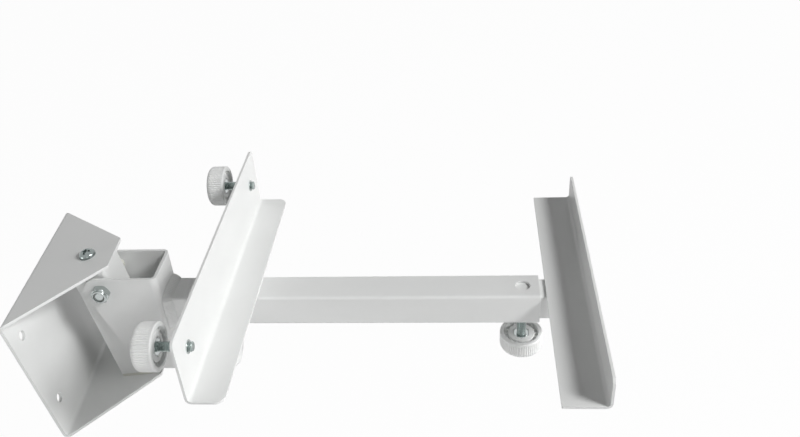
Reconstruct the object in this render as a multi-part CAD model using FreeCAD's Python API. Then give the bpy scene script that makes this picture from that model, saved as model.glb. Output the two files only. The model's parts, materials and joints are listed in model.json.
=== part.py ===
import FreeCAD, Part
import math
import os

# Speaker wall bracket. Lengths are millimetres, angles are degrees.
# Row frame: the origin is the centre of the four wall holes on the wall plate's back
# face, +X points out of the wall, +Z up. Heights below are counted from the middle of
# the wall plate and are moved to the row frame as each piece is saved. The swivel bracket
# is drawn straight and then turned about the swivel axis. The arm's pieces are drawn along
# their own straight axes, drooped about the tilt bolt and turned with the swivel bracket.

os.makedirs("parts", exist_ok=True)

# Clearances
RUN = 0.05            # gap that lets one piece turn or slide on another
HOLE_PLAY = 0.25      # extra radius of a plain screw hole
KNOB_PLAY = 0.08      # extra radius of the hole that a knob turns on

# Fasteners, metric M8
SCREW_R = 4.0
HEAD_R = 7.0
HEAD_H = 5.6
HEAD_SKIRT = 1.6      # upright part of the head below its dome
CROSS_REACH = 4.2
CROSS_W = 1.4
CROSS_DEEP = 2.6
NUT_FLATS = 14.0
NUT_H = 7.6
NUT_COLLAR_R = 6.1
NUT_COLLAR_H = 1.8
WASHER_R = 8.5
WASHER_T = 1.6
SCREW_UNDER_NUT = 0.9 # the screw's end stays this far inside the nut's collar

# Wall bracket
WALL_W = 163.0
WALL_H = 130.0
WALL_T = 2.5
WALL_BEND = 3.0
EAR_DEPTH = 74.0
EAR_NOSE = 40.0
EAR_STRAIGHT = 4.0
EAR_CORNER = 9.0
EAR_NOSE_CORNER = 2.0
WALL_HOLE_R = 4.15
WALL_HOLE_Y = 63.0
WALL_HOLE_STEP = 73.0
WALL_HOLE_UP = 3.0
SWIVEL_X = 50.0

# Swivel bracket and its nylon pads
PAD_T = 3.0
PAD_CORNER = 3.0
SWIVEL_T = 2.5
SWIVEL_W = 34.0
SWIVEL_BACK = 12.0    # from the swivel axis back to the cheeks' rear edge
SWIVEL_FRONT = 18.5   # from the swivel axis forward to the web's front face
SWIVEL_BEND = 1.0
REST_SWIVEL = -4.3     # the arm's turn to one side as it stands in the photo

# Tilt joint
TILT_FROM_SWIVEL = 11.0
TILT_Z = 40.5
REST_TILT = 7.8       # droop of the arm as it stands in the photo
CHANNEL_T = 2.5
CHANNEL_W = 43.0
CHANNEL_BEND = 3.0
CHANNEL_REACH = 49.5  # from the tilt bolt forward to the channel's front face
CHANNEL_TOP = 13.0    # above the tilt bolt
CHANNEL_BOTTOM = 90.0 # below the tilt bolt
CHANNEL_REAR = 15.0   # behind the tilt bolt
CHANNEL_FOOT = 36.0   # length of the cheeks' bottom edge
CHANNEL_CORNER = 12.0
CHEEK_REAR_LOW = 4.0   # below the tilt bolt, where the cheek's rear edge turns forward
CHEEK_REAR_CORNER = 8.0
CHEEK_FOOT_CORNER = 3.0
SPACER_R = 6.5
TUBE_DROP = 13.0      # from the tilt bolt down to the outer tube's top

# Arm
OUTER_SIDE = 30.0
OUTER_CORNER = 2.5
OUTER_INNER_CORNER = 1.0
OUTER_LEN = 322.5
INNER_SIDE = 25.0
INNER_T = 2.0
INNER_CORNER = 2.5
INNER_LEN = 334.0
EXTENDED = 40.0       # inner tube standing out of the outer tube at rest
LOCK_FROM_MOUTH = 14.0
ACCESS_R = 6.0

# Clamp plates
PLATE_T = 2.0
PLATE_BEND = 3.0
PLATE_LEN = 272.0
PLATE_CORNER = 6.0
REAR_TALL = 60.0
REAR_DEEP = 29.0
REAR_FROM_WEB = 55.0  # from the channel's front face to the rear plate's clamp face
FRONT_TALL = 28.0
FRONT_DEEP = 36.0
FRONT_PAST_TUBE = 1.0
REAR_FOOT_CORNER = 8.0
FRONT_FOOT_CORNER = 1.0

# Thumb screws
KNOB_R = 18.8
KNOB_H = 16.5
KNOB_BACK_ROUND = 4.5
KNOB_RIM_ROUND = 1.2
KNOB_RIM_W = 4.8      # width of the rim's flat face
KNOB_GROOVE_W = 1.6
KNOB_GROOVE_H = 5.0
KNOB_DISC_LOW = 2.2
POCKET_FLATS = 13.4   # six-sided pocket round the rod
POCKET_LOW = 4.2
KNOB_RIDGES = 56
RIDGE_DEEP = 0.55
SMOOTH_BAND = 3.2     # plain band between the ridges and the rim
ROD_IN_KNOB = 10.0    # below the pocket's floor
CLAMP_FROM_END = 25.0
CLAMP_UP = 34.5
CLAMP_TIP = 4.0
CLAMP_STAND = 19.5    # from the rear plate's back to the knob's rim
PRESS_R = 7.0
PRESS_H = 5.5
PRESS_SHANK_R = 5.4
PRESS_LIP = 0.8
LOCK_STAND = 22.0
TILT_ARM = 82.0       # from the tilt bolt down to the tilt screw
TILT_STAND = 35.0
TILT_TIP_GAP = 0.45   # keeps the rounded tip clear of the swivel bracket over the whole tilt
WELD_NUT_FLATS = 13.0
WELD_NUT_H = 6.5

# Sizes that follow from the ones above
EAR_IN_Z = WALL_H / 2 - WALL_T
SWIVEL_HALF_H = EAR_IN_Z - RUN - PAD_T
SWIVEL_X0 = SWIVEL_X - SWIVEL_BACK
SWIVEL_X1 = SWIVEL_X + SWIVEL_FRONT
TILT_X = SWIVEL_X + TILT_FROM_SWIVEL
WEB_X = CHANNEL_REACH
TUBE_TOP = -TUBE_DROP
TUBE_MID = TUBE_TOP - OUTER_SIDE / 2
TUBE_LOW = TUBE_TOP - OUTER_SIDE
OUTER_T = (OUTER_SIDE - INNER_SIDE) / 2 - RUN
MOUTH_X = WEB_X + OUTER_LEN
INNER_X1 = MOUTH_X + EXTENDED
INNER_TOP = TUBE_MID + INNER_SIDE / 2
INNER_LOW = TUBE_MID - INNER_SIDE / 2
REAR_X = WEB_X + REAR_FROM_WEB
FRONT_X = INNER_X1 + FRONT_PAST_TUBE - PLATE_T
LOCK_X = MOUTH_X - LOCK_FROM_MOUTH
CLAMP_Y = PLATE_LEN / 2 - CLAMP_FROM_END


def vec(x, y, z):
    return FreeCAD.Vector(x, y, z)


def outline(corners, place):
    """A flat face from corners (u, v, radius), each rounded by its radius."""
    count = len(corners)
    ends = []
    for i in range(count):
        u, v, r = corners[i]
        here = FreeCAD.Vector(u, v, 0)
        back = FreeCAD.Vector(corners[i - 1][0], corners[i - 1][1], 0) - here
        ahead = FreeCAD.Vector(corners[(i + 1) % count][0], corners[(i + 1) % count][1], 0) - here
        if r <= 0:
            ends.append((here, here, here))
            continue
        back.normalize()
        ahead.normalize()
        half = back.getAngle(ahead) / 2
        cut = r / math.tan(half)
        middle = back + ahead
        middle.normalize()
        centre = here + middle * (r / math.sin(half))
        ends.append((here + back * cut, centre - middle * r, here + ahead * cut))
    edges = []
    for i in range(count):
        first, mid, last = ends[i]
        start = ends[(i + 1) % count][0]
        if (last - first).Length > 1e-6:
            arc = Part.Arc(place(first.x, first.y), place(mid.x, mid.y), place(last.x, last.y))
            edges.append(arc.toShape())
        if (start - last).Length > 1e-6:
            edges.append(Part.makeLine(place(last.x, last.y), place(start.x, start.y)))
    return Part.Face(Part.Wire(edges))


def plan(z):
    """Corners (u, v) laid out as X and Y at height z."""
    return lambda u, v: vec(u, v, z)


def side(y):
    """Corners (u, v) laid out as X and Z at depth y."""
    return lambda u, v: vec(u, y, v)


def front(x):
    """Corners (u, v) laid out as Y and Z at distance x."""
    return lambda u, v: vec(x, u, v)


def rod(start, direction, r, length):
    return Part.makeCylinder(r, length, start, direction)


def hexagon(start, direction, flats, length, turn=0):
    """A six-sided prism about a line, its first corner turned away from the cross axis."""
    points = []
    r = flats / math.sqrt(3)
    for i in range(7):
        a = math.radians(60 * i + turn)
        points.append(vec(r * math.cos(a), r * math.sin(a), 0))
    prism = Part.Face(Part.makePolygon(points)).extrude(vec(0, 0, length))
    prism.Placement = FreeCAD.Placement(start, FreeCAD.Rotation(vec(0, 0, 1), direction))
    return prism


def swivelled(shape):
    """Turn a piece about the swivel axis by the rest angle."""
    moved = shape.copy()
    moved.rotate(vec(SWIVEL_X, 0, 0), vec(0, 0, 1), REST_SWIVEL)
    return moved


def droop(shape):
    """Turn an arm piece down by the rest angle, carry it to the tilt bolt and swivel it."""
    moved = shape.copy()
    moved.rotate(vec(0, 0, 0), vec(0, 1, 0), REST_TILT)
    moved.translate(vec(TILT_X, 0, TILT_Z))
    return swivelled(moved)


def save(name, shape):
    tidy = shape.removeSplitter()
    solid = tidy.Solids[0] if len(tidy.Solids) == 1 else tidy
    solid.translate(vec(0, 0, -WALL_HOLE_UP))
    solid.exportStep("parts/" + name + ".step")


# Fasteners


def pan_screw(seat, direction, length):
    """Pan head screw: the head stands against direction, the shank runs along it."""
    shank = rod(vec(0, 0, 0), vec(0, 0, 1), SCREW_R, length - 0.6)
    tip = Part.makeCone(SCREW_R, SCREW_R - 0.6, 0.6, vec(0, 0, length - 0.6), vec(0, 0, 1))
    rise = HEAD_H - HEAD_SKIRT
    crown = (HEAD_R ** 2 + rise ** 2) / (2 * rise)
    ball = Part.makeSphere(crown, vec(0, 0, crown - HEAD_H))
    head = rod(vec(0, 0, -HEAD_H), vec(0, 0, 1), HEAD_R, HEAD_H).common(ball)
    reach = CROSS_REACH
    w = CROSS_W
    slot = Part.makeBox(2 * reach, w, CROSS_DEEP + 0.1, vec(-reach, -w / 2, -HEAD_H - 0.1))
    cross = Part.makeBox(w, 2 * reach, CROSS_DEEP + 0.1, vec(-w / 2, -reach, -HEAD_H - 0.1))
    screw = shank.fuse([tip, head]).cut([slot, cross])
    screw.Placement = FreeCAD.Placement(seat, FreeCAD.Rotation(vec(0, 0, 1), direction))
    return screw


def lock_nut(seat, direction):
    """Hexagon lock nut with a round collar, its bore tight on the screw's thread."""
    body = hexagon(vec(0, 0, 0), vec(0, 0, 1), NUT_FLATS, NUT_H - NUT_COLLAR_H, 30)
    collar = rod(vec(0, 0, NUT_H - NUT_COLLAR_H), vec(0, 0, 1), NUT_COLLAR_R, NUT_COLLAR_H)
    bore = rod(vec(0, 0, -1), vec(0, 0, 1), SCREW_R, NUT_H + 2)
    nut = body.fuse(collar).cut(bore)
    nut.Placement = FreeCAD.Placement(seat, FreeCAD.Rotation(vec(0, 0, 1), direction))
    return nut


def washer(seat, direction, r, bore, t):
    ring = rod(seat, direction, r, t)
    return ring.cut(rod(seat - direction, direction, bore, t + 2))


def ridge_grooves():
    """V grooves all round the grip, from the rounding of its back to the plain band."""
    deep = KNOB_R - RIDGE_DEEP
    high = KNOB_R + RIDGE_DEEP
    low = -KNOB_H + KNOB_BACK_ROUND
    wide = high * math.tan(math.pi / KNOB_RIDGES) * 1.7
    wedge = Part.makePolygon([
        vec(deep, 0, low),
        vec(high, -wide, low),
        vec(high, wide, low),
        vec(deep, 0, low),
    ])
    groove = Part.Face(wedge).extrude(vec(0, 0, -low - SMOOTH_BAND))
    grooves = []
    for i in range(KNOB_RIDGES):
        turned = groove.copy()
        turned.rotate(vec(0, 0, 0), vec(0, 0, 1), 360 * i / KNOB_RIDGES)
        grooves.append(turned)
    return grooves


def turned_corner(r, height, radius, first, last, cones):
    """Corners on a rounding of that radius, as a lathe would cut it in short cones."""
    corners = []
    for i in range(cones + 1):
        a = math.radians(first + (last - first) * i / cones)
        corners.append((r + radius * math.cos(a), height + radius * math.sin(a), 0))
    return corners


def knob():
    """Moulded knob on the Z axis: rim at z = 0, open side up, closed back below.

    Inside the rim a ring groove sets off a sunken disc, and a six-sided pocket in the
    disc leads to the blind hole that holds the rod. Its roundings are short cones, which
    keeps the facets few.
    """
    groove_out = KNOB_R - KNOB_RIM_W
    groove_in = groove_out - KNOB_GROOVE_W
    back = KNOB_BACK_ROUND
    rim = KNOB_RIM_ROUND
    half = [(0, -KNOB_H, 0)]
    half += turned_corner(KNOB_R - back, -KNOB_H + back, back, -90, 0, 3)
    half += turned_corner(KNOB_R - rim, -rim, rim, 0, 90, 2)
    half += [
        (groove_out, 0, 0),
        (groove_out, -KNOB_GROOVE_H, 0),
        (groove_in, -KNOB_GROOVE_H, 0),
        (groove_in, -KNOB_DISC_LOW, 0),
        (0, -KNOB_DISC_LOW, 0),
    ]
    body = outline(half, side(0)).revolve(vec(0, 0, 0), vec(0, 0, 1), 360)
    pocket = hexagon(vec(0, 0, -POCKET_LOW), vec(0, 0, 1), POCKET_FLATS, KNOB_H)
    low = POCKET_LOW + ROD_IN_KNOB + RUN
    blind = rod(vec(0, 0, -low), vec(0, 0, 1), SCREW_R + KNOB_PLAY, KNOB_H * 2)
    return body.cut([pocket, blind] + ridge_grooves())


def thumb_screw(tip, direction, reach, name, round_tip):
    """Threaded rod from its tip back into a knob whose rim is reach behind the tip."""
    length = reach + POCKET_LOW + ROD_IN_KNOB
    if round_tip:
        shank = rod(vec(0, 0, -length), vec(0, 0, 1), SCREW_R, length - SCREW_R)
        stud = shank.fuse(Part.makeSphere(SCREW_R, vec(0, 0, -SCREW_R)))
    else:
        shank = rod(vec(0, 0, -length), vec(0, 0, 1), SCREW_R, length - 0.7)
        stud = shank.fuse(Part.makeCone(SCREW_R, SCREW_R - 0.7, 0.7, vec(0, 0, -0.7)))
    turn = FreeCAD.Placement(tip, FreeCAD.Rotation(vec(0, 0, 1), direction))
    grip = KNOB.copy()
    grip.translate(vec(0, 0, -reach))
    stud.Placement = turn.multiply(stud.Placement)
    grip.Placement = turn.multiply(grip.Placement)
    save(name + "_screw", droop(stud))
    save(name + "_knob", droop(grip))


# Wall side


def wall_bracket():
    h = WALL_H / 2
    t = WALL_T
    bent = [
        (0, -h, WALL_BEND + t),
        (EAR_DEPTH, -h, 0),
        (EAR_DEPTH, -h + t, 0),
        (t, -h + t, WALL_BEND),
        (t, h - t, WALL_BEND),
        (EAR_DEPTH, h - t, 0),
        (EAR_DEPTH, h, 0),
        (0, h, WALL_BEND + t),
    ]
    sheet = outline(bent, side(-WALL_W / 2)).extrude(vec(0, WALL_W, 0))
    w = WALL_W / 2
    n = EAR_NOSE / 2
    shape = [
        (-1, -w, 0),
        (EAR_STRAIGHT, -w, EAR_CORNER),
        (EAR_DEPTH, -n, EAR_NOSE_CORNER),
        (EAR_DEPTH, n, EAR_NOSE_CORNER),
        (EAR_STRAIGHT, w, EAR_CORNER),
        (-1, w, 0),
    ]
    piece = sheet.common(outline(shape, plan(-h - 1)).extrude(vec(0, 0, WALL_H + 2)))
    for y in (-WALL_HOLE_Y, WALL_HOLE_Y):
        for z in (-WALL_HOLE_STEP / 2, WALL_HOLE_STEP / 2):
            hole = rod(vec(-1, y, WALL_HOLE_UP + z), vec(1, 0, 0), WALL_HOLE_R, WALL_T + 2)
            piece = piece.cut(hole)
    for z in (-h - 1, h - t - 1):
        piece = piece.cut(rod(vec(SWIVEL_X, 0, z), vec(0, 0, 1), SCREW_R + HOLE_PLAY, t + 2))
    save("wall_bracket", piece)


def swivel_fasteners(name, up):
    """Screw, washer and nut of one swivel point, up is 1 for the upper one, -1 below."""
    under = SWIVEL_HALF_H - SWIVEL_T - RUN
    into = vec(0, 0, -up)
    nut_z = under - WASHER_T
    length = WALL_H / 2 - nut_z + NUT_H - SCREW_UNDER_NUT
    save(name + "_screw", pan_screw(vec(SWIVEL_X, 0, up * WALL_H / 2), into, length))
    save(name + "_washer", washer(vec(SWIVEL_X, 0, up * under), into, WASHER_R, SCREW_R, WASHER_T))
    save(name + "_nut", lock_nut(vec(SWIVEL_X, 0, up * nut_z), into))


def swivel_pad(name, z):
    w = SWIVEL_W / 2
    shape = [
        (SWIVEL_X0, -w, 0),
        (SWIVEL_X1, -w, PAD_CORNER),
        (SWIVEL_X1, w, PAD_CORNER),
        (SWIVEL_X0, w, 0),
    ]
    pad = outline(shape, plan(z)).extrude(vec(0, 0, PAD_T))
    pad = pad.cut(rod(vec(SWIVEL_X, 0, z - 1), vec(0, 0, 1), SCREW_R + RUN, PAD_T + 2))
    save(name, swivelled(pad))


# Swivel group


def swivel_bracket():
    w = SWIVEL_W / 2
    t = SWIVEL_T
    h = SWIVEL_HALF_H
    block = [
        (SWIVEL_X0, -w, 0),
        (SWIVEL_X1, -w, SWIVEL_BEND + t),
        (SWIVEL_X1, w, SWIVEL_BEND + t),
        (SWIVEL_X0, w, 0),
    ]
    hollow = [
        (SWIVEL_X0 - 1, -w + t, 0),
        (SWIVEL_X1 - t, -w + t, SWIVEL_BEND),
        (SWIVEL_X1 - t, w - t, SWIVEL_BEND),
        (SWIVEL_X0 - 1, w - t, 0),
    ]
    piece = outline(block, plan(-h)).extrude(vec(0, 0, 2 * h))
    piece = piece.cut(outline(hollow, plan(-h + t)).extrude(vec(0, 0, 2 * (h - t))))
    piece = piece.cut(rod(vec(SWIVEL_X, 0, -h - 1), vec(0, 0, 1), SCREW_R + RUN, 2 * h + 2))
    piece = piece.cut(rod(vec(TILT_X, -w - 1, TILT_Z), vec(0, 1, 0), SCREW_R + RUN, 2 * w + 2))
    save("swivel_bracket", swivelled(piece))


def tilt_spacer(name, sign):
    t = CHANNEL_W / 2 - CHANNEL_T - SWIVEL_W / 2 - RUN
    seat = vec(TILT_X, sign * SWIVEL_W / 2, TILT_Z)
    save(name, swivelled(washer(seat, vec(0, sign, 0), SPACER_R, SCREW_R + RUN, t)))


# Arm group, drawn straight with the tilt bolt at the origin


def tilt_channel():
    w = CHANNEL_W / 2
    t = CHANNEL_T
    x0 = -CHANNEL_REAR
    folded = [
        (x0, -w, 0),
        (WEB_X, -w, CHANNEL_BEND + t),
        (WEB_X, w, CHANNEL_BEND + t),
        (x0, w, 0),
        (x0, w - t, 0),
        (WEB_X - t, w - t, CHANNEL_BEND),
        (WEB_X - t, -w + t, CHANNEL_BEND),
        (x0, -w + t, 0),
    ]
    low = -CHANNEL_BOTTOM
    piece = outline(folded, plan(low)).extrude(vec(0, 0, CHANNEL_TOP + CHANNEL_BOTTOM))
    cheek = [
        (WEB_X + 1, CHANNEL_TOP, 0),
        (x0, CHANNEL_TOP, CHANNEL_CORNER),
        (x0, -CHEEK_REAR_LOW, CHEEK_REAR_CORNER),
        (WEB_X - CHANNEL_FOOT, low, CHEEK_FOOT_CORNER),
        (WEB_X + 1, low, 0),
    ]
    piece = piece.common(outline(cheek, side(-w - 1)).extrude(vec(0, 2 * w + 2, 0)))
    piece = piece.cut(rod(vec(0, -w - 1, 0), vec(0, 1, 0), SCREW_R + HOLE_PLAY, 2 * w + 2))
    piece = piece.cut(rod(vec(WEB_X - t - 1, 0, -TILT_ARM), vec(1, 0, 0), SCREW_R + HOLE_PLAY, t + 2))
    save("tilt_channel", droop(piece))


def tilt_bolt():
    """Head and washer on the far cheek, lock nut on the near one."""
    w = CHANNEL_W / 2
    head = w + WASHER_T
    length = head + w + NUT_H - SCREW_UNDER_NUT
    save("tilt_bolt", droop(pan_screw(vec(0, head, 0), vec(0, -1, 0), length)))
    ring = washer(vec(0, w, 0), vec(0, 1, 0), WASHER_R, SCREW_R, WASHER_T)
    save("tilt_bolt_washer", droop(ring))
    save("tilt_lock_nut", droop(lock_nut(vec(0, -w, 0), vec(0, -1, 0))))


def square_tube(x0, length, outer, t, corner, inner_corner):
    s = outer / 2
    i = s - t
    shell = []
    bore = []
    for u, v in ((-1, -1), (1, -1), (1, 1), (-1, 1)):
        shell.append((u * s, TUBE_MID + v * s, corner))
        bore.append((u * i, TUBE_MID + v * i, inner_corner))
    piece = outline(shell, front(x0)).extrude(vec(length, 0, 0))
    return piece.cut(outline(bore, front(x0 - 1)).extrude(vec(length + 2, 0, 0)))


def outer_tube():
    tube = square_tube(WEB_X, OUTER_LEN, OUTER_SIDE, OUTER_T, OUTER_CORNER, OUTER_INNER_CORNER)
    tube = tube.cut(rod(vec(LOCK_X, 0, TUBE_MID), vec(0, 0, 1), ACCESS_R, OUTER_SIDE))
    tube = tube.cut(rod(vec(LOCK_X, 0, TUBE_LOW - 1), vec(0, 0, 1), SCREW_R + RUN, OUTER_SIDE / 2))
    save("outer_tube", droop(tube))


def angle_plate(x_back, z_low, tall, deep, toward, foot_corner):
    """Folded angle on top of a tube: toward is +1 or -1, the way its foot points."""
    t = PLATE_T
    bent = [
        (x_back, z_low, PLATE_BEND + t),
        (x_back + toward * deep, z_low, 0),
        (x_back + toward * deep, z_low + t, 0),
        (x_back + toward * t, z_low + t, PLATE_BEND),
        (x_back + toward * t, z_low + tall, 0),
        (x_back, z_low + tall, 0),
    ]
    half = PLATE_LEN / 2
    sheet = outline(bent, side(-half)).extrude(vec(0, PLATE_LEN, 0))
    upright = [
        (-half, z_low - 1, 0),
        (half, z_low - 1, 0),
        (half, z_low + tall, PLATE_CORNER),
        (-half, z_low + tall, PLATE_CORNER),
    ]
    x_low = min(x_back, x_back + toward * deep)
    x_tip = x_back + toward * deep
    foot = [
        (x_back - toward, -half, 0),
        (x_tip, -half, foot_corner),
        (x_tip, half, foot_corner),
        (x_back - toward, half, 0),
    ]
    sheet = sheet.common(outline(upright, front(x_low - 1)).extrude(vec(deep + 2, 0, 0)))
    return sheet.common(outline(foot, plan(z_low - 1)).extrude(vec(0, 0, tall + 2)))


def rear_clamp_plate():
    piece = angle_plate(REAR_X - PLATE_T, TUBE_TOP, REAR_TALL, REAR_DEEP, 1, REAR_FOOT_CORNER)
    z = TUBE_TOP + CLAMP_UP
    for y in (-CLAMP_Y, CLAMP_Y):
        start = vec(REAR_X - PLATE_T - 1, y, z)
        piece = piece.cut(rod(start, vec(1, 0, 0), PRESS_SHANK_R, PLATE_T + 2))
    save("rear_clamp_plate", droop(piece))


def press_nut(name, y):
    """Threaded insert pressed in from behind: a round body, a shank and a thin lip."""
    z = TUBE_TOP + CLAMP_UP
    back = REAR_X - PLATE_T
    body = rod(vec(back - PRESS_H, y, z), vec(1, 0, 0), PRESS_R, PRESS_H)
    shank = rod(vec(back, y, z), vec(1, 0, 0), PRESS_SHANK_R, PLATE_T + PRESS_LIP)
    bore = rod(vec(back - PRESS_H - 1, y, z), vec(1, 0, 0), SCREW_R + RUN, PRESS_H + PLATE_T + 4)
    save(name, droop(body.fuse(shank).cut(bore)))


def tilt_weld_nut():
    x = WEB_X - CHANNEL_T - WELD_NUT_H
    nut = hexagon(vec(x, 0, -TILT_ARM), vec(1, 0, 0), WELD_NUT_FLATS, WELD_NUT_H)
    bore = rod(vec(x - 1, 0, -TILT_ARM), vec(1, 0, 0), SCREW_R + RUN, WELD_NUT_H + 2)
    save("tilt_weld_nut", droop(nut.cut(bore)))


# Extension group


def inner_tube():
    x0 = INNER_X1 - INNER_LEN
    corner = INNER_CORNER - INNER_T + 0.3
    save("inner_tube", droop(square_tube(x0, INNER_LEN, INNER_SIDE, INNER_T, INNER_CORNER, corner)))


def front_clamp_plate():
    x = FRONT_X + PLATE_T
    piece = angle_plate(x, INNER_TOP, FRONT_TALL, FRONT_DEEP, -1, FRONT_FOOT_CORNER)
    save("front_clamp_plate", droop(piece))


# Thumb screws


def clamp_screw(name, y):
    tip = vec(REAR_X + CLAMP_TIP, y, TUBE_TOP + CLAMP_UP)
    thumb_screw(tip, vec(1, 0, 0), CLAMP_TIP + PLATE_T + CLAMP_STAND, name, False)


def lock_screw():
    """Its tip touches the inner tube through the outer tube's floor."""
    tip = vec(LOCK_X, 0, INNER_LOW - RUN / 2)
    thumb_screw(tip, vec(0, 0, 1), tip.z - TUBE_LOW + LOCK_STAND, "lock", False)


def tilt_tip_x():
    """Where the tilt screw's rounded tip meets the swivel bracket at the rest angle."""
    a = math.radians(REST_TILT)
    web = SWIVEL_X1 - TILT_X
    centre = (web + SCREW_R + TILT_ARM * math.sin(a)) / math.cos(a)
    return centre - SCREW_R + TILT_TIP_GAP


def tilt_screw():
    tip = vec(tilt_tip_x(), 0, -TILT_ARM)
    thumb_screw(tip, vec(-1, 0, 0), WEB_X + TILT_STAND - tip.x, "tilt", True)


KNOB = knob()
wall_bracket()
swivel_fasteners("upper_swivel", 1)
swivel_fasteners("lower_swivel", -1)
swivel_pad("upper_swivel_pad", SWIVEL_HALF_H)
swivel_pad("lower_swivel_pad", -SWIVEL_HALF_H - PAD_T)
swivel_bracket()
tilt_spacer("near_tilt_spacer", -1)
tilt_spacer("far_tilt_spacer", 1)
tilt_channel()
tilt_bolt()
outer_tube()
rear_clamp_plate()
press_nut("near_press_nut", -CLAMP_Y)
press_nut("far_press_nut", CLAMP_Y)
tilt_weld_nut()
inner_tube()
front_clamp_plate()
clamp_screw("near_clamp", -CLAMP_Y)
clamp_screw("far_clamp", CLAMP_Y)
lock_screw()
tilt_screw()
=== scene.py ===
# %% [markdown]
# A speaker wall bracket
#
# The object is a bracket that holds a loudspeaker on a wall. A folded plate is screwed to
# the wall, a smaller folded box swivels in it, and a square arm tilts on that box. Two angle
# plates on the telescopic arm hold the speaker, and white thumb screws set everything.
#
# The construction comes in as a fixed frame of solids. This lesson gives it its finish: the
# powder coat on the sheet metal, the zinc on the fasteners, the rolled threads, the ribbed
# grip of the moulded knobs and the weld beads, and then the camera and the light.

import json
import math

import bmesh
import bpy
import numpy as np
from mathutils import Matrix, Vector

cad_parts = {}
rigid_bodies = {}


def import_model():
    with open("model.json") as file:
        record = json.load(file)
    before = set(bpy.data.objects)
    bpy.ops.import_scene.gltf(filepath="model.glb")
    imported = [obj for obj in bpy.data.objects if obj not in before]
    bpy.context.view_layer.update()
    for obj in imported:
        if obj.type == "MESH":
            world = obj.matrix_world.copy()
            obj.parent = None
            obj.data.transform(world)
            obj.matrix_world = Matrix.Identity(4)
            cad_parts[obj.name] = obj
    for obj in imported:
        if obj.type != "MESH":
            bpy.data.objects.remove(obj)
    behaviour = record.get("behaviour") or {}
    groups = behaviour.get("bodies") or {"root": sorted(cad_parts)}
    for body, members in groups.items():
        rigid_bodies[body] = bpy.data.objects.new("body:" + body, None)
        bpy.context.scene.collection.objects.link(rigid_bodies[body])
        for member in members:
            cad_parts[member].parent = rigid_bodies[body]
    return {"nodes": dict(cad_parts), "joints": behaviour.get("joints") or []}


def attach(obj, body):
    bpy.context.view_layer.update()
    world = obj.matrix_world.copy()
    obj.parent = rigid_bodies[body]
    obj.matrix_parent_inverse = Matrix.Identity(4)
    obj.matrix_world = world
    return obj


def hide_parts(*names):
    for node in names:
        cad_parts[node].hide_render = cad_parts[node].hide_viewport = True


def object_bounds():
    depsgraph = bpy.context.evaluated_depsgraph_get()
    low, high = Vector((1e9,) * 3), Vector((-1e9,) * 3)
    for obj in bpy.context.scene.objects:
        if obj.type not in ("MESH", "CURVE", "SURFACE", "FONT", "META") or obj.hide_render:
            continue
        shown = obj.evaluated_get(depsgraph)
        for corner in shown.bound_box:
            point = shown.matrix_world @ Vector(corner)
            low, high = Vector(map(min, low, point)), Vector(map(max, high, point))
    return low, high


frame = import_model()
CAD_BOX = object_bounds()
NODES = frame["nodes"]
JOINTS = {joint["name"]: joint for joint in frame["joints"]}
MM = 0.001

# %% [markdown]
# Reading the frame
#
# Every screw, nut and knob is round about one line, and that line is known: it is the axis of
# the joint that the piece turns on. Sizes could be typed in again, but then they would drift
# from the solids. So each piece is measured: how far it reaches along its line, and how wide
# it is around it.


# %% Axes and spans
def unit(vector):
    """The same direction at a length of 1."""
    vector = np.array(vector, float)
    return vector / np.linalg.norm(vector)


def node_points(node):
    """The corners of a solid as an array of rows (x, y, z), in metres."""
    mesh = NODES[node].data
    flat = np.empty(len(mesh.vertices) * 3, np.float32)
    mesh.vertices.foreach_get("co", flat)
    return flat.reshape(-1, 3).astype(float)


def span(node, point, axis):
    """Lowest and highest place of a solid along a line, and its widest reach from it."""
    away = node_points(node) - point
    along = away @ axis
    across = np.linalg.norm(away - along[:, None] * axis, axis=1)
    return along.min(), along.max(), across.max()


def joint_line(name):
    """A point on a joint's axis, and the direction of that axis."""
    return np.array(JOINTS[name]["pos_m"], float), unit(JOINTS[name]["axis"])


ARM_OUT = unit(JOINTS["extension"]["axis"])
ARM_UP = unit(JOINTS["lock_travel"]["axis"])
ARM_SIDE = np.cross(ARM_UP, ARM_OUT)
SWIVEL_AT, SWIVEL_AXIS = joint_line("swivel")
TILT_AT, TILT_AXIS = joint_line("tilt")
print("the arm droops", round(math.degrees(math.asin(-ARM_OUT[2])), 2), "degrees")

# %% [markdown]
# From numbers to a mesh
#
# All new pieces are grids of points. One direction of the grid runs along a profile, the other
# round an axis or along a path. A modifier such as Screw could spin a profile, but a formula
# can also bend the radius as it goes round, which is what ribs, a hexagon and a thread need.
# Corners of the grid that fall together are merged, so that the skin is closed.


# %% Grid surfaces
WELD_DISTANCE = 0.02 * MM


def surface(name, points, wrap=True, caps=True, smooth_angle=35.0):
    """A skin over points[row, column], an array of (x, y, z).

    Each four neighbours make a face. With wrap the last column joins the first, and with
    caps the first and last rows are each closed by a fan to their middle.
    """
    rows, cols, _ = points.shape
    flat = points.reshape(-1, 3)
    row, col = np.meshgrid(np.arange(rows - 1), np.arange(cols if wrap else cols - 1), indexing="ij")
    here = (row * cols + col).ravel()
    ahead = (row * cols + (col + 1) % cols).ravel()
    faces = np.stack([here, ahead, ahead + cols, here + cols], axis=1).tolist()
    if caps:
        ring = np.arange(cols)
        after = (ring + 1) % cols
        first = len(flat)
        flat = np.vstack([flat, points[0].mean(0), points[-1].mean(0)])
        last_row = (rows - 1) * cols
        faces += np.stack([after, ring, np.full(cols, first)], axis=1).tolist()
        faces += np.stack([ring + last_row, after + last_row, np.full(cols, first + 1)], axis=1).tolist()
    mesh = bpy.data.meshes.new(name)
    mesh.from_pydata(flat.tolist(), [], faces)
    return finished(name, mesh, smooth_angle)


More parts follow.
